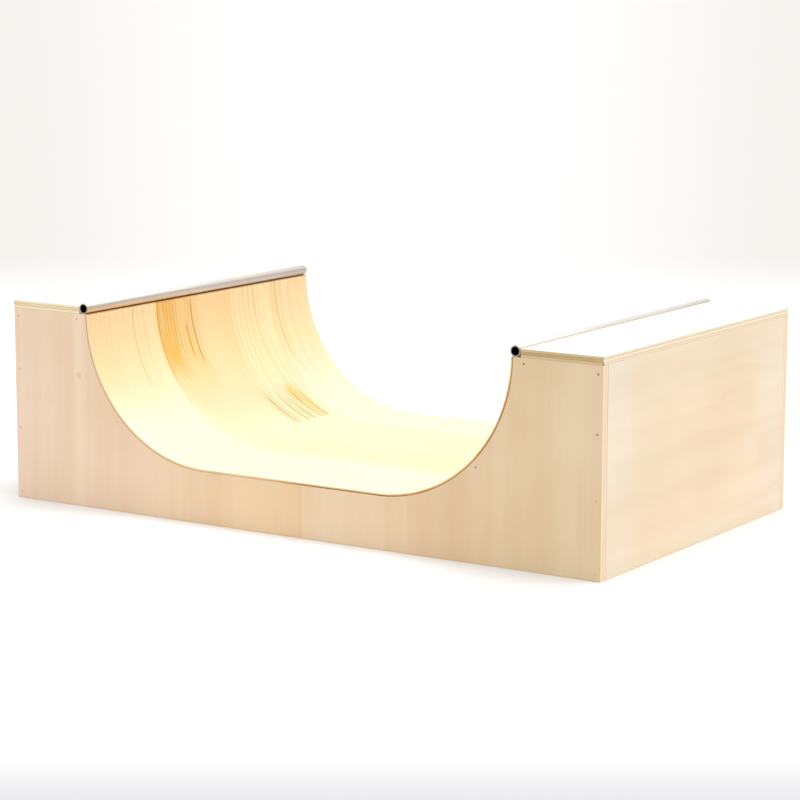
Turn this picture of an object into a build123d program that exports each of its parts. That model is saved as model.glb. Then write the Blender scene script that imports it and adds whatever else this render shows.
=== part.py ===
from build123d import *
import os

# A half-pipe for fingerboards: a plywood box whose top is a U-shaped riding channel between two
# decks, with an aluminium tube (the coping) along the lip of each transition.
#
# Millimetres. X runs along the ride, from the left deck to the right one. Y runs across the
# ramp, and its negative side is the front. Z is up. The origin is the middle of the footprint,
# on the floor.

# --- Overall sizes ---
RAMP_LENGTH = 500.0  # over the two end panels
RAMP_WIDTH = 280.0  # over the two side panels
DECK_HEIGHT = 150.0  # floor to deck top

# --- Stock ---
SIDE_THICKNESS = 6.0  # plywood of the side panels
END_THICKNESS = 6.0  # plywood of the end panels
RIB_THICKNESS = 6.0  # plywood of the centre rib
DECK_THICKNESS = 6.0  # plywood of the decks
SHEET_THICKNESS = 2.0  # flexible plywood of the riding surface
BATTEN_WIDTH = 16.0
BATTEN_DEPTH = 8.0

# --- Riding profile ---
TRANSITION_RADIUS = 105.0  # riding face of each curve
PLATFORM_DEPTH = 70.0  # outer end to the riding face at the lip
LIP_SHORTFALL = 1.0  # the sheet ends this far below the height of the curve's centre
TRANSITION_BATTEN_ANGLE = 45.0  # below the horizontal through the curve's centre

# --- Coping tube ---
COPING_DIAMETER = 8.0
COPING_WALL = 1.0
COPING_REVEAL = 0.5  # how far the tube stands in front of the riding face
COPING_DEBURR = 0.2  # chamfer on the rims of both ends

# --- Panel pins (small nails) ---
PIN_LENGTH = 20.0
PIN_SHANK_DIAMETER = 1.0
PIN_HEAD_DIAMETER = 1.5
PIN_HEAD_DEPTH = 0.5
PIN_POINT_LENGTH = 1.6
PIN_POINT_DIAMETER = 0.2
PIN_SET = 0.3  # depth of the head below the side panel's face
PINS_PER_CORNER = 4
BOTTOM_PIN_HEIGHT = 5.0  # lowest corner pin, from the floor
TOP_PIN_MARGIN = 6.0  # highest corner pin, from the panel's top edge
MIDDLE_PIN_RISE = 4.5  # the two middle corner pins sit this far above even spacing
CORNER_PIN_SHIFT = 1.0  # corner pins are this far inwards of the end panel's mid-plane

# --- Clearances and edges ---
PIN_FIT = 0.02  # between a pin and its hole, all round
PIN_POINT_ROOM = 0.2  # hole beyond the pin's point
NOTCH_FIT = 0.3  # between the rib's notches and the battens
EASED_EDGE = 0.4  # sanding radius on outside plywood edges
SHEET_EASED_EDGE = 0.25  # sanding radius on the riding face's two long edges
BATTEN_EASED_EDGE = 0.5
CUT_OVERRUN = 2.0  # how far a cutting tool runs past the face that it opens

# --- Worked out from the sizes above ---
HALF_LENGTH = RAMP_LENGTH / 2
HALF_WIDTH = RAMP_WIDTH / 2
INNER_HALF_LENGTH = HALF_LENGTH - END_THICKNESS
INNER_HALF_WIDTH = HALF_WIDTH - SIDE_THICKNESS
PANEL_TOP = DECK_HEIGHT - DECK_THICKNESS
LIP_X = HALF_LENGTH - PLATFORM_DEPTH
CURVE_CENTRE_X = LIP_X - TRANSITION_RADIUS
CURVE_CENTRE_Z = PANEL_TOP + LIP_SHORTFALL
BACK_RADIUS = TRANSITION_RADIUS + SHEET_THICKNESS
SHEET_BACK_X = LIP_X + SHEET_THICKNESS
COPING_RADIUS = COPING_DIAMETER / 2
COPING_X = LIP_X - COPING_REVEAL + COPING_RADIUS
COPING_Z = PANEL_TOP + COPING_RADIUS
DECK_INNER_X = COPING_X + COPING_RADIUS

SIDE_VIEW = Plane.XZ  # side-view sketches are drawn with X across and Z up
TINY = 1e-6  # for comparing places


def slab(section, low_y, high_y):
    """A side-view section, made solid from low_y to high_y."""
    middle = (low_y + high_y) / 2
    solid = extrude(SIDE_VIEW * section, (high_y - low_y) / 2, both=True)
    return Pos(0, middle, 0) * solid


def block(low, high):
    """A box between two opposite corners."""
    size = [b - a for a, b in zip(low, high)]
    centre = [(a + b) / 2 for a, b in zip(low, high)]
    return Pos(*centre) * Box(*size)


def channel(radius):
    """Side view of the open space inside a U whose curves have this radius."""
    floor_z = CURVE_CENTRE_Z - radius
    wall_x = CURVE_CENTRE_X + radius
    open_z = DECK_HEIGHT + radius
    outline = [
        Line((-CURVE_CENTRE_X, floor_z), (CURVE_CENTRE_X, floor_z)),
        CenterArc((CURVE_CENTRE_X, CURVE_CENTRE_Z), radius, -90, 90),
        Line((wall_x, CURVE_CENTRE_Z), (wall_x, open_z)),
        Line((wall_x, open_z), (-wall_x, open_z)),
        Line((-wall_x, open_z), (-wall_x, CURVE_CENTRE_Z)),
        CenterArc((-CURVE_CENTRE_X, CURVE_CENTRE_Z), radius, 180, 90),
    ]
    return make_face(outline)


def upright(half_length):
    """Side view from the floor to the panels' top, as long as given to each side."""
    return Pos(0, PANEL_TOP / 2) * Rectangle(2 * half_length, PANEL_TOP)


def mirrored_to_left(piece):
    return mirror(piece, about=Plane.YZ)


def mirrored_to_rear(piece):
    return mirror(piece, about=Plane.XZ)


# --- Pins: made once, driven through the front side panel, then mirrored to the rear ---
def pin_at(x, z):
    """One pin, driven from the front, with its head set below the side panel's face."""
    head_y = -HALF_WIDTH + PIN_SET
    shank_y = head_y + PIN_HEAD_DEPTH
    point_y = head_y + PIN_LENGTH
    taper_y = point_y - PIN_POINT_LENGTH
    half_profile = Polyline(
        (0, head_y),
        (PIN_HEAD_DIAMETER / 2, head_y),
        (PIN_HEAD_DIAMETER / 2, shank_y),
        (PIN_SHANK_DIAMETER / 2, shank_y),
        (PIN_SHANK_DIAMETER / 2, taper_y),
        (PIN_POINT_DIAMETER / 2, point_y),
        (0, point_y),
        (0, head_y),
    )
    return Pos(x, 0, z) * revolve(make_face(half_profile), Axis.Y, 360)


def pin_hole_at(x, z):
    """The tool that cuts a pin's stepped hole, open at the side panel's face."""
    outside_y = -HALF_WIDTH - CUT_OVERRUN
    shoulder_y = -HALF_WIDTH + PIN_SET + PIN_HEAD_DEPTH
    blind_y = -HALF_WIDTH + PIN_SET + PIN_LENGTH + PIN_POINT_ROOM
    head_radius = PIN_HEAD_DIAMETER / 2 + PIN_FIT
    shank_radius = PIN_SHANK_DIAMETER / 2 + PIN_FIT
    half_profile = Polyline(
        (0, outside_y),
        (head_radius, outside_y),
        (head_radius, shoulder_y),
        (shank_radius, shoulder_y),
        (shank_radius, blind_y),
        (0, blind_y),
        (0, outside_y),
    )
    return Pos(x, 0, z) * revolve(make_face(half_profile), Axis.Y, 360)


def corner_pin_places():
    """The pins into one end of the right end panel, bottom to top, as (x, z)."""
    x = HALF_LENGTH - END_THICKNESS / 2 - CORNER_PIN_SHIFT
    top = PANEL_TOP - TOP_PIN_MARGIN
    gaps = PINS_PER_CORNER - 1
    step = (top - BOTTOM_PIN_HEIGHT) / gaps
    middle = [BOTTOM_PIN_HEIGHT + step * n + MIDDLE_PIN_RISE for n in range(1, gaps)]
    return [(x, z) for z in (BOTTOM_PIN_HEIGHT, *middle, top)]


# Side-view places of the right battens' sections. Each local X runs through the batten's depth.
# The transition batten lies on the back of the sheet, and the coping batten under the deck's edge.
CURVE_CENTRE = Pos(CURVE_CENTRE_X, CURVE_CENTRE_Z)
OUTWARDS = Rot(0, 0, -TRANSITION_BATTEN_ANGLE) * Pos(BACK_RADIUS + BATTEN_DEPTH / 2, 0)
TRANSITION_BATTEN = CURVE_CENTRE * OUTWARDS
COPING_BATTEN_CENTRE = Pos(SHEET_BACK_X + BATTEN_WIDTH / 2, PANEL_TOP - BATTEN_DEPTH / 2)
COPING_BATTEN = COPING_BATTEN_CENTRE * Rot(0, 0, 90)

CORNER_PINS = corner_pin_places()
TRANSITION_BATTEN_PIN = (TRANSITION_BATTEN.position.X, TRANSITION_BATTEN.position.Y)
COPING_BATTEN_PIN = (COPING_BATTEN.position.X, COPING_BATTEN.position.Y)
BATTEN_PINS = [TRANSITION_BATTEN_PIN, COPING_BATTEN_PIN]


def holes_for(places):
    """Hole tools at these places on the right, for the front and the rear."""
    front = [pin_hole_at(x, z) for x, z in places]
    return front + [mirrored_to_rear(hole) for hole in front]


def drilled(piece, places):
    """A right-hand piece with its pin holes, front and rear."""
    return piece - holes_for(places)


# --- Side panels ---
def under_sheet(edge):
    """Whether this straight edge is the one that carries the flat."""
    return abs(edge.center().Z - (CURVE_CENTRE_Z - BACK_RADIUS)) < TINY


def front_side_panel():
    """Eased all along its outline, but not where the sheet's edge lies flush with it."""
    panel = slab(upright(HALF_LENGTH) - channel(BACK_RADIUS), -HALF_WIDTH, -INNER_HALF_WIDTH)
    outer_face = panel.faces().sort_by(Axis.Y)[0]
    floor_and_top = [edge for edge in outer_face.edges().filter_by(Axis.X) if not under_sheet(edge)]
    uprights = panel.edges().filter_by(Axis.Z)
    panel = fillet(floor_and_top + list(uprights), EASED_EDGE)
    right = [pin_hole_at(x, z) for x, z in CORNER_PINS + BATTEN_PINS]
    return panel - right - [mirrored_to_left(hole) for hole in right]


# --- End panels, between the side panels ---
def right_end_panel():
    panel = block((INNER_HALF_LENGTH, -INNER_HALF_WIDTH, 0), (HALF_LENGTH, INNER_HALF_WIDTH, PANEL_TOP))
    outer_face = panel.faces().sort_by(Axis.X)[-1]
    return drilled(fillet(outer_face.edges(), EASED_EDGE), CORNER_PINS)


# --- Decks, over the panels' top edges ---
def right_deck():
    deck = block((DECK_INNER_X, -HALF_WIDTH, PANEL_TOP), (HALF_LENGTH, HALF_WIDTH, DECK_HEIGHT))
    return fillet(deck.edges(), EASED_EDGE)


# --- Riding surface: one bent sheet, on the edges of the side panels and the rib ---
def on_riding_face(edge):
    """Whether this edge lies on the face that is ridden, not on the back of the sheet."""
    place = edge.position_at(0.5)
    beside_flat = max(abs(place.X) - CURVE_CENTRE_X, 0)
    below_centre = CURVE_CENTRE_Z - place.Z
    return abs(beside_flat**2 + below_centre**2 - TRANSITION_RADIUS**2) < TINY


def riding_surface():
    """Square at the back, and eased along both long edges of the riding face."""
    section = channel(BACK_RADIUS) - channel(TRANSITION_RADIUS)
    sheet = slab(section & upright(HALF_LENGTH), -HALF_WIDTH, HALF_WIDTH)
    across_ends = sheet.edges().filter_by(Axis.Y)
    long_edges = [edge for edge in sheet.edges() - across_ends if on_riding_face(edge)]
    return fillet(long_edges, SHEET_EASED_EDGE)


# --- Coping tubes, in the corner between the deck's edge and the panels' top edges ---
def right_coping_tube():
    ring = Circle(COPING_RADIUS) - Circle(COPING_RADIUS - COPING_WALL)
    tube = slab(Pos(COPING_X, COPING_Z) * ring, -HALF_WIDTH, HALF_WIDTH)
    return chamfer(tube.edges().filter_by(GeomType.CIRCLE), COPING_DEBURR)


# --- Battens, between the side panels ---
def batten(place, pin):
    section = place * Rectangle(BATTEN_DEPTH, BATTEN_WIDTH)
    strip = slab(section, -INNER_HALF_WIDTH, INNER_HALF_WIDTH)
    return drilled(fillet(strip.edges().filter_by(Axis.Y), BATTEN_EASED_EDGE), [pin])


def right_coping_batten():
    return batten(COPING_BATTEN, COPING_BATTEN_PIN)


def right_transition_batten():
    return batten(TRANSITION_BATTEN, TRANSITION_BATTEN_PIN)


# --- Centre rib: the side panels' shape, between the end panels, notched over the battens ---
def right_notches():
    """Slots that take the battens, open to the rib's edge. The coping one opens to the lip too."""
    depth = CUT_OVERRUN + BATTEN_DEPTH + NOTCH_FIT
    shift = (NOTCH_FIT - CUT_OVERRUN) / 2
    transition_section = Pos(shift, 0) * Rectangle(depth, BATTEN_WIDTH + 2 * NOTCH_FIT)
    transition_notch = slab(TRANSITION_BATTEN * transition_section, -RIB_THICKNESS, RIB_THICKNESS)
    coping_notch = block(
        (LIP_X, -RIB_THICKNESS, PANEL_TOP - BATTEN_DEPTH - NOTCH_FIT),
        (SHEET_BACK_X + BATTEN_WIDTH + NOTCH_FIT, RIB_THICKNESS, PANEL_TOP + CUT_OVERRUN),
    )
    return [transition_notch, coping_notch]


def centre_rib():
    half_thickness = RIB_THICKNESS / 2
    rib = slab(upright(INNER_HALF_LENGTH) - channel(BACK_RADIUS), -half_thickness, half_thickness)
    notches = right_notches()
    return rib - notches - [mirrored_to_left(notch) for notch in notches]


# --- Assembly ---
def paired(name, right_piece):
    """A right-hand piece and its mirror image on the left."""
    return {f"right_{name}": right_piece, f"left_{name}": mirrored_to_left(right_piece)}


def pin_groups():
    """The pins of each corner, and of each side's battens, as groups of separate solids."""
    corner = [pin_at(x, z) for x, z in CORNER_PINS]
    battens = [pin_at(x, z) for x, z in BATTEN_PINS]
    front_groups = {
        "right_corner_pins": corner,
        "left_corner_pins": [mirrored_to_left(pin) for pin in corner],
        "batten_pins": battens + [mirrored_to_left(pin) for pin in battens],
    }
    groups = {}
    for name, pins in front_groups.items():
        groups[f"front_{name}"] = Compound(pins)
        groups[f"rear_{name}"] = Compound([mirrored_to_rear(pin) for pin in pins])
    return groups


def assembly():
    front = front_side_panel()
    return {
        "front_side_panel": front,
        "rear_side_panel": mirrored_to_rear(front),
        "centre_rib": centre_rib(),
        "riding_surface": riding_surface(),
        **paired("end_panel", right_end_panel()),
        **paired("deck", right_deck()),
        **paired("coping_tube", right_coping_tube()),
        **paired("coping_batten", right_coping_batten()),
        **paired("transition_batten", right_transition_batten()),
        **pin_groups(),
    }


os.makedirs("parts", exist_ok=True)
for node, shape in assembly().items():
    export_step(shape, f"parts/{node}.step")
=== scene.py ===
# %% [markdown]
# # A fingerboard half-pipe
#
# The real object is a plywood box, 500 mm long, whose top is a U-shaped channel for a toy
# skateboard. Two side panels with the U cut out of them carry a thin bent sheet, two decks cap
# the ends, and an aluminium tube, the coping, runs along each lip. The CAD model already holds
# every size. This lesson models each piece again at that size, with the detail that a plain CAD
# solid leaves out: glue lines along the plywood's edges, deburred tube ends and eased corners.
# Then it gives each piece its finish.

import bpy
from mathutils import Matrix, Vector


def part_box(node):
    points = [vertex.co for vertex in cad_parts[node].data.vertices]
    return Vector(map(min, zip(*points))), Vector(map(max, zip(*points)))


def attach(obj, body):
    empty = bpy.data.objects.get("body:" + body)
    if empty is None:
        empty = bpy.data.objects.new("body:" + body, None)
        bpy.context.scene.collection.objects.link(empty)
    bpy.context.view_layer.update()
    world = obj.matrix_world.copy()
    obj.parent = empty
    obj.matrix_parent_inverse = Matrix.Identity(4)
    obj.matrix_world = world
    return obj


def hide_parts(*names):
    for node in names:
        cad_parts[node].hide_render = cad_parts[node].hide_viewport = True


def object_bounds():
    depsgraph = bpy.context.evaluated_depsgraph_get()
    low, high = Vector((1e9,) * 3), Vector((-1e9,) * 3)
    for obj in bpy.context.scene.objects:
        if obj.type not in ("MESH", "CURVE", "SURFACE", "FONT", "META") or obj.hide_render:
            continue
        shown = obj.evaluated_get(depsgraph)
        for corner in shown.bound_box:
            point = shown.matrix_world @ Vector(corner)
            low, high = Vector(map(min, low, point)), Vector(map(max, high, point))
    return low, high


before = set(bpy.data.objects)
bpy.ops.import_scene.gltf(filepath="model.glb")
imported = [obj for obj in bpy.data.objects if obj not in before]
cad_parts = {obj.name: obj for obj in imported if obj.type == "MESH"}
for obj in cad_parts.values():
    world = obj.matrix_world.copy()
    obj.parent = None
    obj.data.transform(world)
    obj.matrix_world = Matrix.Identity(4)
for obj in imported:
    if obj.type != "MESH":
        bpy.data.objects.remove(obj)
cad_low, cad_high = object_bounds()
print("CAD box", [round(v, 4) for v in (*cad_low, *cad_high)], "nodes", len(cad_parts))

# %% Modules
import math

import bpy
from mathutils import Matrix, Vector

scene = bpy.context.scene
MM = 0.001
print("Blender", bpy.app.version_string, "with sizes in metres")

# %% [markdown]
# ## Sizes
#
# Places come from the frame: the box of each CAD node says where that piece starts and ends.
# Only what a box can't tell is written here: the radius of the riding curve, the sheet's
# thickness and how many plies the panels have.

# %% Sizes taken from the frame
TRANSITION_RADIUS = 105 * MM
SHEET_THICKNESS = 2 * MM
PLIES = 3

_, end_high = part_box("right_end_panel")
sheet_low, sheet_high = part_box("riding_surface")
tube_low, tube_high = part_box("right_coping_tube")
flat_z = sheet_low.z + SHEET_THICKNESS
curve_z = flat_z + TRANSITION_RADIUS
curve_x = sheet_high.x - SHEET_THICKNESS - TRANSITION_RADIUS
tube_radius = (tube_high.z - tube_low.z) / 2
print("flat at", flat_z, "curve centre", curve_x, curve_z, "tube radius", tube_radius)

# %% [markdown]
# ## Writing shader maths as Python
#
# A shader is a graph of nodes, and a long graph is hard to read as node calls. So a `Signal`
# wraps one output socket and gives it Python's operators: `1 - mask * 0.5` then adds the Math
# nodes by itself.

# %% Signals
class Signal:
    """An output socket that can be calculated with. Each operator adds one Math node."""

    def __init__(self, finish, socket):
        self.finish = finish
        self.socket = socket

    def maths(self, operation, *values):
        return self.finish.add("Math", {"operation": operation}, dict(enumerate(values)))

    def __add__(self, other):
        return self.maths("ADD", self, other)

    def __radd__(self, other):
        return self.maths("ADD", other, self)

    def __sub__(self, other):
        return self.maths("SUBTRACT", self, other)

    def __rsub__(self, other):
        return self.maths("SUBTRACT", other, self)

    def __mul__(self, other):
        return self.maths("MULTIPLY", self, other)

    def __rmul__(self, other):
        return self.maths("MULTIPLY", other, self)

    def __truediv__(self, other):
        return self.maths("DIVIDE", self, other)

    def __pow__(self, other):
        return self.maths("POWER", self, other)

    def __abs__(self):
        return self.maths("ABSOLUTE", self)

    def fraction(self):
        return self.maths("FRACT", self)

    def floor(self):
        return self.maths("FLOOR", self)

    def at_least(self, value):
        return self.maths("MAXIMUM", self, value)

    def near(self, value, reach):
        """1 where this is within reach of value, and 0 elsewhere."""
        return self.maths("COMPARE", self, value, reach)

    def above(self, value):
        return self.maths("GREATER_THAN", self, value)

    def ramp(self, start, end, low=0.0, high=1.0):
        """Slides smoothly from low, at start, to high, at end."""
        values = {"Value": self, "From Min": start, "From Max": end, "To Min": low, "To Max": high}
        return self.finish.add("MapRange", {"interpolation_type": "SMOOTHSTEP"}, values)


print("a signal can do", [name for name in vars(Signal) if not name.startswith("_")])

# %% [markdown]
# A `Finish` is a material with one method, `add`, for every other kind of node. It takes the
# node's type, its settings, and the values or signals of its inputs. The rest of its methods
# are shorthand for the few nodes that come back in every finish: a place, a noise, a mix of
# two colours and a bump.

# %% Finishes
def set_stops(ramp, stops):
    """Gives a new colour ramp these stops, each a place from 0 to 1 and a colour."""
    ramp.elements.remove(ramp.elements[-1])
    ramp.elements[0].position, ramp.elements[0].color = stops[0]
    for place, colour in stops[1:]:
        ramp.elements.new(place).color = colour


class Finish:
    """A material, with the shorthand that builds its nodes."""

    def __init__(self, name):
        self.material = bpy.data.materials.new(name)
        self.material.use_nodes = True
        self.tree = self.material.node_tree
        self.shader = self.tree.nodes["Principled BSDF"]

    def add(self, kind, settings=None, inputs=None, output=0):
        """Adds any node. Settings go first, because they can change which sockets it has."""
        node = self.tree.nodes.new("ShaderNode" + kind)
        for name, value in (settings or {}).items():
            if name == "stops":
                set_stops(node.color_ramp, value)
            else:
                setattr(node, name, value)
        self.connect(node, inputs or {})
        return Signal(self, node.outputs[output])

    def connect(self, node, inputs):
        for name, value in inputs.items():
            if isinstance(value, Signal):
                self.tree.links.new(value.socket, node.inputs[name])
            else:
                node.inputs[name].default_value = value

    def place(self, scale=(1, 1, 1), shift=(0, 0, 0)):
        """Object coordinates in metres, stretched by scale and moved by shift."""
        here = self.add("TexCoord", output="Object")
        return self.add("Mapping", inputs={"Vector": here, "Location": shift, "Scale": scale})

    def split(self, vector):
        node = self.add("SeparateXYZ", inputs={0: vector}).socket.node
        return [Signal(self, output) for output in node.outputs]

    def noise(self, vector, scale=1.0, detail=3.0, roughness=0.5):
        inputs = {"Vector": vector, "Scale": scale, "Detail": detail, "Roughness": roughness}
        return self.add("TexNoise", inputs=inputs)

    def blend(self, amount, first, second, mode="MIX"):
        """Mixes two colours, from the first at 0 to the second at 1."""
        settings = {"data_type": "RGBA", "blend_type": mode, "clamp_factor": True}
        return self.add("Mix", settings, {0: amount, 6: first, 7: second}, output=2)

    def tint(self, amount, colour, factor):
        """Darkens a colour by another, as a stain does."""
        return self.blend(amount, colour, factor, mode="MULTIPLY")

    def bump(self, height, depth, strength=1.0):
        """Turns a height signal from 0 to 1 into a normal, for relief of this depth."""
        inputs = {"Height": height, "Distance": depth, "Strength": strength}
        return self.add("Bump", inputs=inputs)


print("a finish can do", [name for name in vars(Finish) if not name.startswith("_")])

# %% [markdown]
# Colours are easiest to choose as they look on a screen, but shaders add up light, so they
# need linear values. A screen's curve is a short straight foot and a power of 2.4 above it.

# %% Colours
def linear(value):
    """One channel of a screen colour, from 0 to 255, as an amount of light from 0 to 1."""
    value = value / 255
    return value / 12.92 if value <= 0.04045 else ((value + 0.055) / 1.055) ** 2.4


def swatch(red, green, blue):
    return (linear(red), linear(green), linear(blue), 1.0)


print("the panels' wood is near", [round(v, 3) for v in swatch(230, 202, 168)])

# %% [markdown]
# ## The studio
#
# The ramp stands on a large pale floor that fills the view up to the horizon, so there is no
# backdrop to light. One broad sun, almost overhead, stands in for a ceiling softbox: a sun's
# light doesn't fade with distance, so the floor is lit evenly, and its dimming away from the
# ramp is painted shade. The world adds a soft fill from all round. The plain Standard transform
# keeps the bright, slightly burnt-out look of a product shot on white.

# %% The floor
AZIMUTH, ELEVATION, ROLL = (math.radians(a) for a in (32.943, 9.773, 0.12))
CAMERA_REACH = 2.0
FLOOR_SIZE = 80.0

# Where the floor's painted shade starts and stops getting darker: in metres behind the ramp and
# in front of it, and to its sides as a share of the distance from the camera.
PAINTED_SHADE_BEHIND = (0.7, 1.6)
PAINTED_SHADE_IN_FRONT = (-0.56, -0.73)
PAINTED_SHADE_ASIDE = (0.02, 0.15)


def floor_finish():
    """Pale paper, brightest round the ramp, with painted shade dimming it behind and in front."""
    paper = Finish("studio_floor")
    here = paper.add("TexCoord", output="Object")
    turn_it = {"Vector": here, "Rotation": (0, 0, AZIMUTH)}
    aside, behind, _ = paper.split(paper.add("Mapping", {"vector_type": "TEXTURE"}, turn_it))
    side_shade = (abs(aside) / (behind + CAMERA_REACH)).ramp(*PAINTED_SHADE_ASIDE)
    far = paper.blend(side_shade, swatch(195, 195, 194), swatch(182, 180, 178))
    tone = paper.blend(behind.ramp(*PAINTED_SHADE_BEHIND), swatch(207, 207, 207), far)
    paper.connect(paper.shader, {
        "Base Color": paper.blend(behind.ramp(*PAINTED_SHADE_IN_FRONT), tone, swatch(172, 173, 176)),
        "Roughness": 0.9 + paper.noise(here, scale=40.0) * 0.05,
    })
    return paper.material


bpy.ops.mesh.primitive_plane_add(size=FLOOR_SIZE)
floor = bpy.context.object
floor.name = "studio_floor"
floor.data.materials.append(floor_finish())
print("floor", FLOOR_SIZE, "m wide")

# %% The light
SUN_FROM = Vector((0.16, 0.10, 1.0))
SUN_ENERGY = 3.1
SUN_SPREAD = math.radians(50)
SUN_COLOUR = (1.0, 0.99, 0.975)
ROOM_COLOUR = (1.0, 0.995, 0.99, 1.0)
ROOM_STRENGTH = 0.95

world = bpy.data.worlds.new("white_room")
world.use_nodes = True
room = world.node_tree.nodes["Background"]
room.inputs["Color"].default_value = ROOM_COLOUR
room.inputs["Strength"].default_value = ROOM_STRENGTH
scene.world = world

sun = bpy.data.lights.new("softbox", "SUN")
sun.energy = SUN_ENERGY
sun.angle = SUN_SPREAD
sun.color = SUN_COLOUR
softbox = bpy.data.objects.new("softbox", sun)
softbox.rotation_euler = SUN_FROM.to_track_quat("Z", "Y").to_euler()
scene.collection.objects.link(softbox)
print("sun strength", SUN_ENERGY, "and room strength", ROOM_STRENGTH)

# %% [markdown]
# The camera stands two metres off, 42 cm above the floor, and looks down at one corner of the
# box. From that distance a long lens is needed to fill the picture, and it keeps the upright
# edges almost parallel, as in a catalogue.

# %% Camera
CAMERA_AT = (1.0889, -1.6771, 0.4221)
CAMERA_LENS = 122.89
SENSOR_WIDTH = 36.0

camera = bpy.data.objects.new("camera", bpy.data.cameras.new("camera"))
camera.data.lens = CAMERA_LENS
camera.data.sensor_width = SENSOR_WIDTH
camera.data.clip_end = 2 * FLOOR_SIZE
turn = Matrix.Rotation(AZIMUTH, 4, "Z") @ Matrix.Rotation(math.pi / 2 - ELEVATION, 4, "X")
camera.matrix_world = Matrix.Translation(CAMERA_AT) @ turn @ Matrix.Rotation(ROLL, 4, "Z")
scene.collection.objects.link(camera)
scene.camera = camera
scene.view_settings.view_transform = "Standard"
print("camera at", [round(v, 3) for v in camera.location], "lens", camera.data.lens)

# %% [markdown]
# ## Plywood
#
# A three-ply panel shows one veneer on its face and all three plies on its edges. The outer
# plies' grain runs one way and the core's runs across it. An edge shows long, pale fibres
# where it runs along a ply's grain, and darker, speckled end grain where it cuts across. So
# one finish can do every panel, once it knows which axis is the thickness and which is the
# grain: the object-space normal says whether a point is on a face or on an edge.

# %% Plywood finish
X, Y, Z = 0, 1, 2
STREAK = swatch(240, 228, 212)
GLUE_LINE = swatch(150, 116, 80)


def stretched(along, along_scale, across_scale):
    """A scale for coordinates, low along one axis and high across it, which draws streaks."""
    return tuple(along_scale if axis == along else across_scale for axis in (X, Y, Z))


class Plywood(Finish):
    """Bare sanded three-ply, with its grain along one axis and its plies stacked on another."""

    def __init__(self, name, node, thickness_axis, grain_axis, shift=(0, 0, 0)):
        super().__init__(name)
        low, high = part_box(node)
        self.grain_axis = grain_axis
        self.shift = shift
        self.spot = self.split(self.add("TexCoord", output="Object"))
        self.normal = self.split(self.add("TexCoord", output="Normal"))
        self.on_edge = 1 - abs(self.normal[thickness_axis]).above(0.8)
        self.cuts_grain = abs(self.normal[grain_axis]).above(0.6)
        ply = (high[thickness_axis] - low[thickness_axis]) / PLIES
        self.depth = (self.spot[thickness_axis] - low[thickness_axis]) / ply
        self.fibres = self.along_grain(55, 1900, detail=4.0).ramp(0.32, 0.68)
        self.speckles = self.noise(self.place(), scale=1500.0).ramp(0.3, 0.7)

    def along_grain(self, along_scale, across_scale, detail=3.0):
        place = self.place(stretched(self.grain_axis, along_scale, across_scale), self.shift)
        return self.noise(place, detail=detail)

    def face_colour(self, wood, figure=1.0):
        """Broad soft stripes, cloudy patches, fine fibres and short dark pores on bare wood."""
        stripes = self.along_grain(3.0, 55.0).ramp(0.3, 0.7)
        clouds = self.noise(self.place(shift=self.shift), scale=9.0, detail=2.0).ramp(0.3, 0.7)
        pores = self.along_grain(190, 3600, detail=1.0).ramp(0.66, 0.78)
        wood = self.tint(stripes * (0.34 * figure) + clouds * 0.4, wood, STREAK)
        return self.tint(self.fibres * (0.12 * figure) + pores * (0.3 * figure), wood, STREAK)

    def edge_colour(self, long_grain, end_grain):
        """Long or end grain by ply, with a thin dark glue line between plies."""
        core = self.depth.near(PLIES / 2, 0.5)
        shows_end = abs(core - self.cuts_grain)
        long_wood = self.blend(self.fibres * 0.3, long_grain, end_grain)
        saw_marks = self.noise(self.place((700, 700, 2600)), detail=2.0).ramp(0.35, 0.65)
        end_wood = self.blend(self.speckles * 0.4 + saw_marks * 0.2, end_grain, long_grain)
        glue = self.depth.near(1.0, 0.06) + self.depth.near(2.0, 0.06)
        return self.blend(glue * 0.5, self.blend(shows_end, long_wood, end_wood), GLUE_LINE)

    def spot_at(self, centre, radius):
        """1 inside a small ball round a point, and 0 beyond its radius."""
        inputs = {0: self.add("TexCoord", output="Object"), 1: centre}
        distance = self.add("VectorMath", {"operation": "DISTANCE"}, inputs, output="Value")
        return distance.ramp(radius, radius * 0.4)

    def dress(self, face, edge):
        """Joins face and edge, and adds the sanded surface's sheen and relief."""
        relief = self.fibres * (1 - self.on_edge) + self.speckles * self.on_edge
        self.connect(self.shader, {
            "Base Color": self.blend(self.on_edge, face, edge),
            "Roughness": 0.56 + self.fibres * 0.1 + self.on_edge * 0.16,
            "Normal": self.bump(relief, 0.05 * MM, 0.35),
        })
        return self.material


print("streaks along Z come from coordinates scaled by", stretched(Z, 55, 1900))

# %% [markdown]
# ## Real plies
#
# A colour alone leaves a plywood edge flat and dead straight. On the real board each glue line
# is a hairline groove between two plies, and it holds a thin shadow. So each panel starts as a
# copy of its CAD node, and a plane cuts a new line of edges round it at each glue line. Bevel
# makes that line a narrow strip, and the strip's middle is pushed in.
#
# An operator acts on what is selected, so a few helpers choose faces and edges by their place.

# %% Helpers for edit mode
SHARP = math.radians(60)  # an edge that turns by more than this gets a bevel
SOFT = math.radians(30)  # one that turns by less is shaded smooth
TINY = 0.002 * MM


def deselect_everything():
    if bpy.context.mode != "OBJECT":
        bpy.ops.object.mode_set(mode="OBJECT")
    bpy.ops.object.select_all(action="DESELECT")


def select_faces(obj, wanted):
    """Enters face mode with only those faces selected that satisfy wanted."""
    bpy.ops.object.mode_set(mode="EDIT")
    bpy.ops.mesh.select_mode(type="FACE")
    bpy.ops.mesh.select_all(action="DESELECT")
    bpy.ops.object.mode_set(mode="OBJECT")
    for face in obj.data.polygons:
        face.select = wanted(face)
    bpy.ops.object.mode_set(mode="EDIT")


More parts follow.
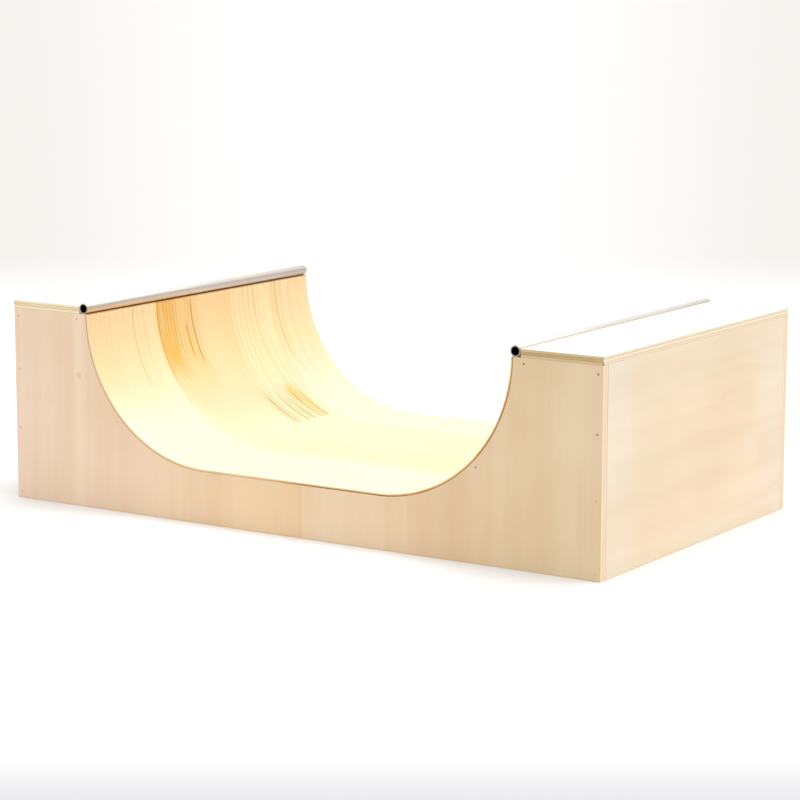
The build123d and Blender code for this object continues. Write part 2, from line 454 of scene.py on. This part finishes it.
def select_edges(obj, wanted):
    """Enters edge mode with only those edges selected whose two ends satisfy wanted."""
    bpy.ops.object.mode_set(mode="EDIT")
    bpy.ops.mesh.select_mode(type="EDGE")
    bpy.ops.mesh.select_all(action="DESELECT")
    bpy.ops.object.mode_set(mode="OBJECT")
    vertices = obj.data.vertices
    for edge in obj.data.edges:
        edge.select = wanted(*(vertices[i].co for i in edge.vertices))
    bpy.ops.object.mode_set(mode="EDIT")


def select_edges_at(obj, axis, height):
    """Selects the edges that lie in the plane at this height along an axis."""
    select_edges(obj, lambda a, b: all(abs(point[axis] - height) < TINY for point in (a, b)))


def apply_modifier(obj, kind, **settings):
    modifier = obj.modifiers.new(kind.lower(), kind)
    for name, value in settings.items():
        setattr(modifier, name, value)
    bpy.ops.object.modifier_apply(modifier=modifier.name)


def ease_edges(obj, width, smooth_below=SOFT):
    """Rounds the sharp edges by this width, and shades the gentle ones smooth."""
    apply_modifier(obj, "BEVEL", width=width, segments=2, limit_method="ANGLE", angle_limit=SHARP)
    bpy.ops.object.shade_smooth_by_angle(angle=smooth_below)


def hand_over(piece, node, material):
    """Dresses a finished piece, makes it ride on the root body and hides the CAD node it stands for.
    """
    piece.data.materials.clear()
    piece.data.materials.append(material)
    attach(piece, "root")
    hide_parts(node)


print("edges that turn by over", round(math.degrees(SHARP)), "degrees count as sharp")

# %% [markdown]
# The CAD mesh is loose triangles, so a copy is merged first and its flats are rejoined. The
# shading normals that came with the triangles no longer fit those larger faces: they would
# show as pale streaks across a board, so they are cleared and the copy is shaded flat.

# %% A plain copy of a CAD node
FLAT = math.radians(0.2)  # faces that meet at less than this become one


def plain_copy(node, name):
    """A merged copy of a CAD node's mesh, with its flat faces rejoined."""
    deselect_everything()
    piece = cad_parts[node].copy()
    piece.data = piece.data.copy()
    piece.name = name
    scene.collection.objects.link(piece)
    bpy.context.view_layer.objects.active = piece
    piece.select_set(True)
    bpy.ops.mesh.customdata_custom_splitnormals_clear()
    bpy.ops.object.shade_flat()
    bpy.ops.object.mode_set(mode="EDIT")
    bpy.ops.mesh.select_mode(type="VERT")
    bpy.ops.mesh.select_all(action="SELECT")
    bpy.ops.mesh.remove_doubles(threshold=TINY)
    bpy.ops.mesh.dissolve_limited(angle_limit=FLAT)
    bpy.ops.object.mode_set(mode="OBJECT")
    return piece


print("CAD triangles to merge", sum(len(node.data.polygons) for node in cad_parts.values()))

# %% [markdown]
# The side panels also have small holes for the pins. The holes' walls face sideways, as the
# panel's rim does, but a groove inside them would never be seen, so the cut leaves them out.
# The pins' own end faces tell where the holes are.

# %% A panel with its glue lines cut in
GROOVE_HALF_WIDTH = 0.16 * MM
GROOVE_DEPTH = 0.14 * MM
HOLE_REACH = 1.3 * MM  # a hole's wall lies within this of its pin's middle


def pin_places(side):
    """The middles of the end faces of the pins that go into one side panel."""
    places = []
    for name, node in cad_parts.items():
        if name.endswith("_pins") and name.startswith(side):
            places += [face.center for face in node.data.polygons if abs(face.normal.y) > 0.9]
    return places


def cut_glue_lines(piece, node, thickness_axis, keep_clear=()):
    low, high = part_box(node)
    ply = (high[thickness_axis] - low[thickness_axis]) / PLIES
    across = Vector([1.0 if axis == thickness_axis else 0.0 for axis in (X, Y, Z)])

    def on_the_rim(face):
        """Faces round the panel's edge, but not the walls of the pin holes."""
        in_hole = any((face.center.xz - spot.xz).length < HOLE_REACH for spot in keep_clear)
        return abs(face.normal[thickness_axis]) < 0.3 and not in_hole

    for number in range(1, PLIES):
        height = low[thickness_axis] + ply * number
        select_faces(piece, on_the_rim)
        bpy.ops.mesh.bisect(plane_co=across * height, plane_no=across)
        select_edges_at(piece, thickness_axis, height)
        bpy.ops.mesh.bevel(offset=GROOVE_HALF_WIDTH, segments=2, profile=0.5)
        select_edges_at(piece, thickness_axis, height)
        bpy.ops.transform.shrink_fatten(value=-GROOVE_DEPTH)
    bpy.ops.object.mode_set(mode="OBJECT")


def plied_panel(node, thickness_axis, keep_clear=()):
    panel = plain_copy(node, f"{node}_board")
    cut_glue_lines(panel, node, thickness_axis, keep_clear)
    low, high = (Vector(panel.bound_box[corner]) / MM for corner in (0, 6))
    print(panel.name, len(panel.data.polygons), "faces", [round(v, 2) for v in (*low, *high)])
    return panel


# %% [markdown]
# ## Side panels
#
# The side panels' face grain stands upright. Their veneer is peeled in strips and joined edge
# to edge, so the tone drifts along the ramp and steps slightly at the seams: the left third is
# rosier, and a paler strip lies between two seams just right of the middle.

# %% Side panel veneer
SEAM_X = 10.5 * MM
PALE_STRIP_END_X = 99 * MM
LIGHT_BAND_X = -189 * MM
KNOT = (-189 * MM, cad_low.y, 98 * MM)
KNOT_RADIUS = 3.4 * MM


def length_share(x):
    """A place along the ramp as a share of its length, as a colour ramp wants it."""
    return (x - cad_low.x) / (cad_high.x - cad_low.x)


STRIP_TONES = [
    (0.0, swatch(232, 209, 186)),
    (length_share(-140 * MM), swatch(233, 208, 181)),
    (length_share(-50 * MM), swatch(232, 204, 167)),
    (length_share(SEAM_X - 0.5 * MM), swatch(229, 200, 160)),
    (length_share(SEAM_X + 0.5 * MM), swatch(234, 211, 180)),
    (length_share(PALE_STRIP_END_X - 1 * MM), swatch(230, 206, 174)),
    (length_share(PALE_STRIP_END_X + 1 * MM), swatch(226, 200, 166)),
    (length_share(200 * MM), swatch(224, 203, 169)),
    (1.0, swatch(221, 200, 167)),
]


def side_panel_finish(name, node):
    """Upright veneer strips, with one narrow light band and one small knot near the left end."""
    ply = Plywood(name, node, Y, Z)
    x = ply.spot[X]
    tones = ply.add("ValToRGB", {"stops": STRIP_TONES}, {"Fac": length_share(x)})
    face = ply.face_colour(tones)
    light_band = x.ramp(LIGHT_BAND_X - 7 * MM, LIGHT_BAND_X)
    light_band = light_band * x.ramp(LIGHT_BAND_X + 8 * MM, LIGHT_BAND_X)
    face = ply.blend(light_band * 0.25, face, swatch(244, 226, 202))
    face = ply.tint(ply.spot_at(KNOT, KNOT_RADIUS) * 0.3, face, swatch(206, 190, 172))
    edge = ply.edge_colour(swatch(238, 217, 187), swatch(222, 193, 155))
    return ply.dress(face, edge)


print("seam at", round(length_share(SEAM_X), 3), "of the length")

# %% Side panels and the rib between them
for side in ("front", "rear"):
    node = f"{side}_side_panel"
    panel = plied_panel(node, Y, pin_places(side))
    hand_over(panel, node, side_panel_finish(f"{side}_side_veneer", node))

rib = plied_panel("centre_rib", Y)
hand_over(rib, "centre_rib", side_panel_finish("rib_veneer", "centre_rib"))

# %% [markdown]
# ## End panels
#
# The end panels' grain lies across the ramp. Their veneer shows the faint, wandering figure of
# a peeled log: contour-like lines, which come from bending a set of straight stripes with a
# slow noise before drawing them. Each panel shifts its noise, so that no two look the same. A
# thin dark joint shows where the panel meets the side panels.

# %% End panel veneer
def end_panel_finish(name, node, shift):
    ply = Plywood(name, node, X, Y, shift)
    _, y, z = ply.spot
    drift = ply.noise(ply.place((6, 3, 14), shift), detail=2.0)
    contours = (z * 60.0 + drift * 6.0).fraction().ramp(0.3, 1.0)
    patches = ply.noise(ply.place((13, 6, 18), shift), detail=3.0).ramp(0.35, 0.65)
    wood = ply.blend(patches * 0.8, swatch(228, 214, 188), swatch(232, 212, 185))
    wood = ply.blend(abs(y).ramp(60 * MM, 138 * MM) * 0.5, wood, swatch(229, 220, 207))
    # Painted shade: the top of the panel is made a little darker.
    wood = ply.tint(z.ramp(90 * MM, 140 * MM) * 0.5, wood, swatch(247, 245, 245))
    wood = ply.tint(contours * patches * 0.12, wood, swatch(240, 222, 202))
    edge = ply.edge_colour(swatch(236, 217, 190), swatch(222, 195, 160))
    face = ply.face_colour(wood, figure=0.5)
    joint = abs(abs(y) - end_high.y).ramp(0.6 * MM, 0.3 * MM)
    return ply.dress(ply.blend(joint * 0.7, face, swatch(140, 118, 94)), edge)


for side, shift in (("right", (0, 0, 0)), ("left", (0, 3, 1))):
    node = f"{side}_end_panel"
    panel = plied_panel(node, X)
    hand_over(panel, node, end_panel_finish(f"{side}_end_veneer", node, shift))

# %% [markdown]
# ## Decks
#
# The decks are the palest wood. Their face grain runs along the ride, so their front edge shows
# a dark core between two pale plies, and their long outer edge shows the opposite. Each has a
# small void at a front corner, where a piece of veneer fell short; its darkness is a spot of
# painted shade. The right deck's front edge also carries a share of painted shade.

# %% Deck veneer
deck_low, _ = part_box("left_deck")
GAP_SHADE_RADIUS = 1.0 * MM
LEFT_GAP_SHADE_AT = (cad_low.x + 0.4 * MM, cad_low.y, deck_low.z + 3.6 * MM)
RIGHT_GAP_SHADE_AT = (cad_high.x, cad_low.y, deck_low.z + 0.9 * MM)


def deck_finish(node, shift, gap, long_grain, end_grain, front_shade):
    """The deck's veneer, with its own two edge tones, and painted shade on its front edge and void.
    """
    ply = Plywood(f"{node}_veneer", node, Z, X, shift)
    edge = ply.edge_colour(long_grain, end_grain)
    core = ply.depth.near(PLIES / 2, 0.5)
    streaks = ply.noise(ply.place((26, 26, 1500), shift), detail=3.0).ramp(0.4, 0.62)
    on_front = abs(ply.normal[Y]).above(0.6)
    edge = ply.tint(on_front * front_shade, edge, swatch(222, 212, 186))
    edge = ply.tint(streaks * core * on_front * 0.8, edge, swatch(232, 226, 196))
    # Painted shade: a near-black spot where the veneer fell short and left a void.
    edge = ply.blend(ply.spot_at(gap, GAP_SHADE_RADIUS) * 0.9, edge, swatch(50, 40, 28))
    return ply.dress(ply.face_colour(swatch(233, 225, 211)), edge)


for node, shift, gap, long_grain, end_grain, front_shade in (
    ("left_deck", (0, 0, 0), LEFT_GAP_SHADE_AT, swatch(238, 220, 188), swatch(220, 202, 166), 0.0),
    ("right_deck", (2, 1, 0), RIGHT_GAP_SHADE_AT, swatch(235, 217, 190), swatch(218, 200, 172), 1.0),
):
    wood = deck_finish(node, shift, gap, long_grain, end_grain, front_shade)
    hand_over(plied_panel(node, Z), node, wood)

# %% [markdown]
# ## The riding surface
#
# This sheet is flexible plywood with a pine face. On the bench it starts flat and is bent, and
# it is modelled the same way: a plane for the flat, whose two short edges are spun into the
# transitions about the same centres as the CAD curves. Solidify then gives it its thickness
# behind the riding face, and a fine bevel its sanded edges. A texture map that measures
# distance along the ride lets the grain follow the bend.

# %% Model the bent sheet
SPIN_STEPS = 56


def bent_sheet():
    deselect_everything()
    bpy.ops.mesh.primitive_plane_add(size=1, location=(0, 0, flat_z))
    sheet = bpy.context.object
    sheet.name = "riding_sheet"
    sheet.scale = (2 * curve_x, sheet_high.y - sheet_low.y, 1)
    bpy.ops.object.transform_apply(location=True, rotation=True, scale=True)
    lip_angle = math.acos((curve_z - sheet_high.z) / TRANSITION_RADIUS)
    for side in (1, -1):
        select_edges_at(sheet, X, side * curve_x)
        centre = (side * curve_x, 0, curve_z)
        bpy.ops.mesh.spin(steps=SPIN_STEPS, angle=lip_angle, center=centre, axis=(0, side, 0))
    bpy.ops.mesh.select_all(action="SELECT")
    bpy.ops.mesh.remove_doubles(threshold=TINY)
    bpy.ops.mesh.normals_make_consistent(inside=False)
    bpy.ops.object.mode_set(mode="OBJECT")
    return sheet


sheet = bent_sheet()
print("sheet spans", [round(v, 4) for v in sheet.dimensions], "faces", len(sheet.data.polygons))

# %% [markdown]
# Solidify grows the wall against the normals when its offset is -1. The riding face must stay
# where it is, so the normals have to point up, into the channel, before the wall is added.

# %% Give the sheet its wall, its eased edges and its map
SHEET_EASED_EDGE = 0.25 * MM


def ride_length(point):
    """Distance along the ride from the middle of the flat, to the right, on or under the face."""
    beyond = max(abs(point.x) - curve_x, 0)
    bend = math.atan2(beyond, curve_z - point.z) * TRANSITION_RADIUS if beyond else 0
    return math.copysign(min(abs(point.x), curve_x) + bend, point.x)


if sheet.data.polygons[0].normal.z < 0:
    sheet.data.flip_normals()
apply_modifier(sheet, "SOLIDIFY", thickness=SHEET_THICKNESS, offset=-1, use_even_offset=True)
ease_edges(sheet, SHEET_EASED_EDGE, smooth_below=math.radians(35))
ride_map = sheet.data.uv_layers.new(name="along_ride")
for loop in sheet.data.loops:
    point = sheet.data.vertices[loop.vertex_index].co
    ride_map.data[loop.index].uv = (ride_length(point), point.y)
print("sheet box", [tuple(round(v, 4) for v in c) for c in (sheet.bound_box[0], sheet.bound_box[6])])

# %% [markdown]
# Pine shows its growth rings as thin golden lines along the sheet. They could be painted one
# by one, but a few rules draw them all: rings come in groups, and a group is a strip across
# the ramp with its own spacing and strength, between two distances from the lip. Its lines are
# equally spaced, but each has a strength of its own, and all drift together. They are drawn on
# the sheet's map, so they bend with the sheet.

# %% Pine, drawn along and across the ride
LIP_AT = ride_length(sheet_high)


class Pine(Finish):
    """Rotary-cut pine, drawn on the sheet's own map: along the ride, and across it."""

    def __init__(self, name):
        super().__init__(name)
        self.along, self.across, _ = self.split(self.add("UVMap", {"uv_map": "along_ride"}))
        self.from_lip = LIP_AT - abs(self.along)
        self.on_left = 1 - self.along.above(0.0)

    def ride_noise(self, along_scale, across_scale, seed, detail=2.0):
        flat_map = self.add("UVMap", {"uv_map": "along_ride"})
        stretch = (along_scale, across_scale, 1)
        inputs = {"Vector": flat_map, "Location": (0, 0, seed), "Scale": stretch}
        return self.noise(self.add("Mapping", inputs=inputs), detail=detail)

    def reach(self, start, end, fade_out, fade_in=None, ragged=0.0):
        """1 between two distances from the lip, in millimetres, fading beyond them."""
        distance = self.from_lip + ragged
        rises = distance.ramp((start - (fade_in or fade_out)) * MM, start * MM)
        return rises * distance.ramp((end + fade_out) * MM, end * MM)

    def drifted(self, slant, seed):
        """The place across the ramp, in millimetres, with a slant and a slow waviness."""
        wander = (self.ride_noise(9, 22, seed) - 0.5) * 5
        return self.across / MM + self.from_lip * (slant / MM) + wander

    def rings(self, low, high, spacing, share, strength, reach, slant=0.0, seed=0, faintest=0.25):
        """A group of lines between two places across the ramp, in millimetres."""
        phase = self.drifted(slant, seed) / spacing + seed * 0.37
        from_middle = abs(phase.fraction() - 0.5)
        line = from_middle.ramp(share / 2, share / 5)
        number = phase.floor() + seed * 17
        own_strength = self.add("TexWhiteNoise", {"noise_dimensions": "1D"}, {"W": number})
        middle, half = (low + high) / 2 * MM, (high - low) / 2 * MM
        inside = abs(self.across - middle).ramp(half + 0.5 * MM, half - 2.5 * MM)
        patchy = self.ride_noise(16, 120, seed + 30).ramp(0.3, 0.6, 0.35, 1.0)
        own_strength = own_strength * (1 - faintest) + faintest
        return line * own_strength * inside * patchy * self.reach(*reach) * strength

    def single_line(self, place, half_width, strength, reach, slant=0.0, seed=0):
        off = abs(self.drifted(slant, seed) - place)
        return off.ramp(half_width, half_width * 0.3) * self.reach(*reach) * strength

    def stain(self, place, half_width, reach, seed):
        """A golden patch that soaked in along the fibres, in streaks of uneven length."""
        rough = self.ride_noise(30, 140, seed, detail=3.0).ramp(0.34, 0.56, 0.45, 1.0)
        streaks = self.ride_noise(10, 460, seed + 40)
        soaked = self.reach(*reach, ragged=(streaks - 0.5) * (70 * MM))
        off = abs(self.across - place * MM)
        patch = off.ramp(half_width * MM, half_width * 0.6 * MM) * rough
        return patch * soaked * streaks.ramp(0.38, 0.56, 0.5, 1.0)


print("lip at", round(LIP_AT, 4), "m along the ride")

# %% [markdown]
# The groups of rings and the few lines that stand alone are lists, in millimetres. `low` and
# `high` are a group's sides across the ramp, `share` is how much of the spacing a line takes,
# and `reach` is where lines start and end, from the lip, and how long they take to fade. Most
# end where wheels have worn the sheet.

# %% The rings
RING_GROUPS = [
    dict(low=-140, high=-62, spacing=3.3, share=0.5, strength=0.20, reach=(-20, 130, 45), seed=1),
    dict(low=-60, high=-8, spacing=3.8, share=0.6, strength=0.80, reach=(-20, 34, 72),
         slant=-0.02, seed=2),
    dict(low=-60, high=-36, spacing=2.8, share=0.6, strength=0.85, reach=(-20, 48, 20),
         slant=-0.02, seed=9, faintest=0.5),
    dict(low=-8, high=34, spacing=4.4, share=0.4, strength=0.15, reach=(-20, 70, 60), seed=3),
    dict(low=30, high=84, spacing=6.6, share=0.36, strength=0.36, reach=(-20, 85, 40),
         slant=0.06, seed=4),
    dict(low=80, high=130, spacing=11.8, share=0.6, strength=0.30, reach=(-20, 75, 45),
         slant=0.04, seed=5),
    dict(low=-140, high=140, spacing=5.3, share=0.35, strength=0.10, reach=(-20, 300, 60),
         slant=0.02, seed=6),
]
LONE_LINES = [
    dict(place=-87.5, half_width=0.8, strength=0.60, reach=(-20, 50, 30), seed=1),
    dict(place=-75, half_width=0.6, strength=0.30, reach=(-20, 50, 30), seed=1),
    dict(place=-24, half_width=1.5, strength=0.80, reach=(24, 42, 8), seed=2),
    dict(place=-15.5, half_width=1.6, strength=0.90, reach=(10, 46, 10), seed=2),
    dict(place=66, half_width=0.8, strength=0.60, reach=(-20, 95, 20), seed=4),
    dict(place=95, half_width=2.2, strength=0.45, reach=(-20, 50, 30), seed=5),
]


def pine_lines(pine):
    lines = pine.rings(**RING_GROUPS[0])
    for group in RING_GROUPS[1:]:
        lines = pine.rings(**group) + lines
    for line in LONE_LINES:
        lines = pine.single_line(**line) + lines
    return lines


print(len(RING_GROUPS), "groups of rings and", len(LONE_LINES), "lone lines")

# %% [markdown]
# Under the rings the wood has a colour of its own. It is paler in the outer strips and warmer
# in a heart strip, and golden where resin has soaked in along the fibres. Near the foot of the
# left transition a row of short olive dashes marks a stretch of dense late wood. The sheet's
# sawn edge shows a pale face ply, a golden core and the glue joint with the panel below it.

# %% Pine finish
HEART_MIDDLE = -13 * MM
HEART_HALF_WIDTH = 46 * MM
TOP_STAIN = dict(place=-49, half_width=13, reach=(-20, 44, 14), seed=15)
LONG_STAIN = dict(place=-34, half_width=25, reach=(-20, 30, 60), seed=16)
FOOT_STAIN = dict(place=66, half_width=9, reach=(98, 118, 10), seed=17)
DASHES = dict(low=24, high=74, spacing=4.3, share=0.65, strength=1.5, reach=(104, 127, 2.5, 24),
              seed=7, faintest=0.4)


def bare_pine(pine, fibres):
    """The colour of the wood before its rings: outer strips, heart strip and fibres."""
    warm = pine.ride_noise(4, 20, 12).ramp(0.3, 0.7)
    lower = pine.from_lip.ramp(40 * MM, 95 * MM)
    wood = pine.blend(lower, swatch(230, 208, 164), swatch(229, 200, 167))
    wood = pine.tint(warm * 0.5, wood, swatch(250, 240, 228))
    wood = pine.tint(fibres * 0.2, wood, swatch(244, 226, 196))
    outer_strips = pine.across.ramp(-42 * MM, -74 * MM) + pine.across.ramp(76 * MM, 92 * MM) * 0.8
    wood = pine.blend(outer_strips * lower * 0.7, wood, swatch(232, 210, 184))
    off_heart = abs(pine.across - HEART_MIDDLE)
    heart = off_heart.ramp(HEART_HALF_WIDTH + 3 * MM, HEART_HALF_WIDTH - 3 * MM)
    return pine.tint(heart * pine.from_lip.ramp(132 * MM, 92 * MM), wood, swatch(254, 246, 238))


def pine_finish():
    pine = Pine("riding_pine")
    lines = pine_lines(pine)
    fibres = pine.ride_noise(30, 1700, 11, detail=4.0).ramp(0.3, 0.7)
    stains = pine.stain(**TOP_STAIN) + pine.stain(**LONG_STAIN) * 0.6
    stains = pine.stain(**FOOT_STAIN) * pine.on_left + stains
    wood = pine.blend(stains * 0.85, bare_pine(pine, fibres), swatch(224, 176, 76))
    wood = pine.blend(lines, wood, swatch(190, 146, 60))
    wood = pine.blend(pine.rings(**DASHES) * pine.on_left, wood, swatch(146, 138, 66))
    # Painted shade: a thin band below the lip is darker, where the coping tube shades the sheet.
    wood = pine.tint(pine.from_lip.ramp(1.2 * MM, 0.3 * MM) * 0.5, wood, swatch(190, 144, 84))
    normal = pine.split(pine.add("TexCoord", output="Normal"))
    pine.connect(pine.shader, {
        "Base Color": pine.blend(abs(normal[Y]).above(0.6), wood, sheet_edge(pine)),
        "Roughness": 0.5 + fibres * 0.12,
        "Normal": pine.bump(fibres * 0.6 + lines * 0.4, 0.05 * MM, 0.3),
    })
    return pine.material


def sheet_edge(pine):
    """A pale face ply, a golden core and a dark, uneven glue joint with the panel below."""
    x, _, z = pine.split(pine.add("TexCoord", output="Object"))
    beyond = (abs(x) - curve_x).at_least(0.0)
    from_centre = (beyond ** 2.0 + (curve_z - z) ** 2.0) ** 0.5
    depth = (from_centre - TRANSITION_RADIUS) / SHEET_THICKNESS
    patches = pine.ride_noise(45, 10, 21, detail=4.0).ramp(0.4, 0.6)
    core = pine.blend(patches, swatch(184, 128, 62), swatch(226, 186, 126))
    edge = pine.blend(depth.ramp(0.25, 0.4), swatch(238, 212, 166), core)
    left_share = pine.along.ramp(20 * MM, -20 * MM)
    edge = pine.blend(left_share * 0.6, edge, swatch(234, 204, 160))
    bends = abs(pine.along).ramp(80 * MM, 110 * MM)
    darkness = (1 - left_share * 0.75) * (1 - bends * 0.3) + left_share * bends * 0.4
    joint = (depth + patches * 0.12).ramp(0.62, 0.74) * darkness * (patches * 0.5 + 0.5)
    return pine.blend(joint, edge, swatch(128, 82, 34))


hand_over(sheet, "riding_surface", pine_finish())
print("pine has", len(sheet.data.materials[0].node_tree.nodes), "nodes")

# %% [markdown]
# ## Coping tubes
#
# Each coping is a length of 8 mm aluminium tube with a 1 mm wall. A circle is extruded along
# the lip into a pipe, Solidify gives it its wall inwards, and a small bevel takes the burr off
# the saw-cut ends. Its colour carries a painted highlight on top, is plainer at its sides, has
# painted warm shade underneath and is near black inside its bore, which is painted shade.

# %% Model the tubes
TUBE_SIDES = 64
TUBE_WALL = 1 * MM
TUBE_DEBURR = 0.2 * MM


def coping_tube(side):
    deselect_everything()
    low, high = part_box(f"{side}_coping_tube")
    middle = (low + high) / 2
    bpy.ops.mesh.primitive_circle_add(
        vertices=TUBE_SIDES, radius=tube_radius, location=(middle.x, low.y, middle.z),
        rotation=(math.pi / 2, 0, 0))
    tube = bpy.context.object
    tube.name = f"{side}_coping"
    bpy.ops.object.transform_apply(location=True, rotation=True, scale=True)
    bpy.ops.object.mode_set(mode="EDIT")
    bpy.ops.mesh.select_all(action="SELECT")
    bpy.ops.mesh.extrude_region_move(TRANSFORM_OT_translate={"value": (0, high.y - low.y, 0)})
    bpy.ops.mesh.select_all(action="SELECT")
    bpy.ops.mesh.normals_make_consistent(inside=False)
    bpy.ops.object.mode_set(mode="OBJECT")
    face = tube.data.polygons[0]
    if (face.center - middle).dot(face.normal) < 0:
        tube.data.flip_normals()
    apply_modifier(tube, "SOLIDIFY", thickness=TUBE_WALL, offset=-1)
    ease_edges(tube, TUBE_DEBURR)
    return tube


tubes = {side: coping_tube(side) for side in ("left", "right")}
for tube in tubes.values():
    print(tube.name, [round(v, 4) for v in tube.dimensions], "faces", len(tube.data.polygons))

# %% Drawn aluminium
tube_x = (tube_low.x + tube_high.x) / 2
tube_z = (tube_low.z + tube_high.z) / 2
bore_radius = tube_radius - TUBE_WALL


def aluminium_finish():
    metal = Finish("drawn_aluminium")
    drawn = metal.noise(metal.place((2600, 14, 2600)), detail=3.0).ramp(0.3, 0.7)
    smudge = metal.noise(metal.place((60, 25, 60)), detail=3.0).ramp(0.35, 0.7)
    x, _, z = metal.split(metal.add("TexCoord", output="Object"))
    from_axis = ((abs(x) - tube_x) ** 2.0 + (z - tube_z) ** 2.0) ** 0.5
    # Painted shade: the inside of the bore is coloured near black.
    bore = from_axis.ramp(bore_radius + 0.15 * MM, bore_radius + 0.05 * MM)
    _, facing_end, facing_up = metal.split(metal.add("TexCoord", output="Normal"))
    # Painted highlight: the metal's colour is lighter where the tube faces up.
    top_highlight = facing_up.ramp(0.3, 0.75)
    # Painted warm shade: the metal is browned where the tube faces down.
    warm_underside_shade = facing_up.ramp(-0.55, -0.85)
    dull = metal.blend(drawn * 0.5 + smudge * 0.3, swatch(206, 194, 180), swatch(190, 177, 162))
    bright = metal.blend(drawn * 0.5 + smudge * 0.3, swatch(229, 224, 217), swatch(214, 209, 202))
    skin = metal.blend(top_highlight, dull, bright)
    skin = metal.blend(warm_underside_shade * 0.8, skin, swatch(204, 160, 92))
    skin = metal.blend(abs(facing_end).above(0.5), skin, swatch(168, 160, 148))
    metal.connect(metal.shader, {
        "Base Color": metal.blend(bore, skin, swatch(26, 25, 24)),
        "Metallic": 1.0,
        "Roughness": 0.30 + drawn * 0.1 + smudge * 0.08 + bore * 0.3,
        "Normal": metal.bump(drawn, 0.02 * MM, 0.3),
    })
    return metal.material


aluminium = aluminium_finish()
for side, tube in tubes.items():
    hand_over(tube, f"{side}_coping_tube", aluminium)
print("bore radius", round(bore_radius, 4))

# %% [markdown]
# ## Battens and pins
#
# The battens under the lips and behind the transitions are planed softwood with straight
# grain along their length. The pins are dull steel, set just below the side panels' faces.
# A plane leaves a batten's corners slightly soft, and a brad's head is pressed with a rounded
# rim. So both are copies of their CAD nodes with a small bevel on every sharp edge.

# %% Planed softwood
def batten_finish():
    """Pale softwood with straight grain along the batten."""
    strip = Finish("planed_softwood")
    grain = strip.noise(strip.place((420, 7, 420)), detail=4.0).ramp(0.3, 0.7)
    fibres = strip.noise(strip.place((2400, 40, 2400)), detail=2.0).ramp(0.3, 0.7)
    streaks = grain * 0.7 + fibres * 0.2
    strip.connect(strip.shader, {
        "Base Color": strip.blend(streaks, swatch(236, 204, 152), swatch(196, 146, 88)),
        "Roughness": 0.6 + fibres * 0.1,
        "Normal": strip.bump(fibres, 0.05 * MM, 0.3),
    })
    return strip.material


planed_wood = batten_finish()
print("made", planed_wood.name)

# %% Dull steel
def pin_finish():
    """Brads whose heads are darker towards the top of the right end."""
    steel = Finish("dull_steel_pin")
    speck = steel.noise(steel.place(), scale=1800.0).ramp(0.35, 0.65)
    x, _, z = steel.split(steel.add("TexCoord", output="Object"))
    darkening = x.ramp(-200 * MM, 100 * MM) * z.ramp(45 * MM, 100 * MM)
    brown = darkening * 0.8 + speck * 0.2
    steel.connect(steel.shader, {
        "Base Color": steel.blend(brown, swatch(222, 194, 162), swatch(132, 100, 70)),
        "Metallic": 0.2,
        "Roughness": 0.5 + speck * 0.15,
    })
    return steel.material


dull_steel = pin_finish()
print("made", dull_steel.name)

# %% Eased battens and pins
BATTEN_EASED_EDGE = 0.5 * MM
PIN_EASED_EDGE = 0.08 * MM


def eased_copy(node, name, width):
    """A copy of a CAD node whose sharp edges are rounded by this width."""
    piece = plain_copy(node, name)
    ease_edges(piece, width)
    print(piece.name, len(piece.data.polygons), "faces")
    return piece


for node in list(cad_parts):
    if node.endswith("_batten"):
        strip = eased_copy(node, f"{node}_strip", BATTEN_EASED_EDGE)
        hand_over(strip, node, planed_wood)
    if node.endswith("_pins"):
        brads = eased_copy(node, f"{node}_brads", PIN_EASED_EDGE)
        hand_over(brads, node, dull_steel)

# %% Update the scene
bpy.context.view_layer.update()
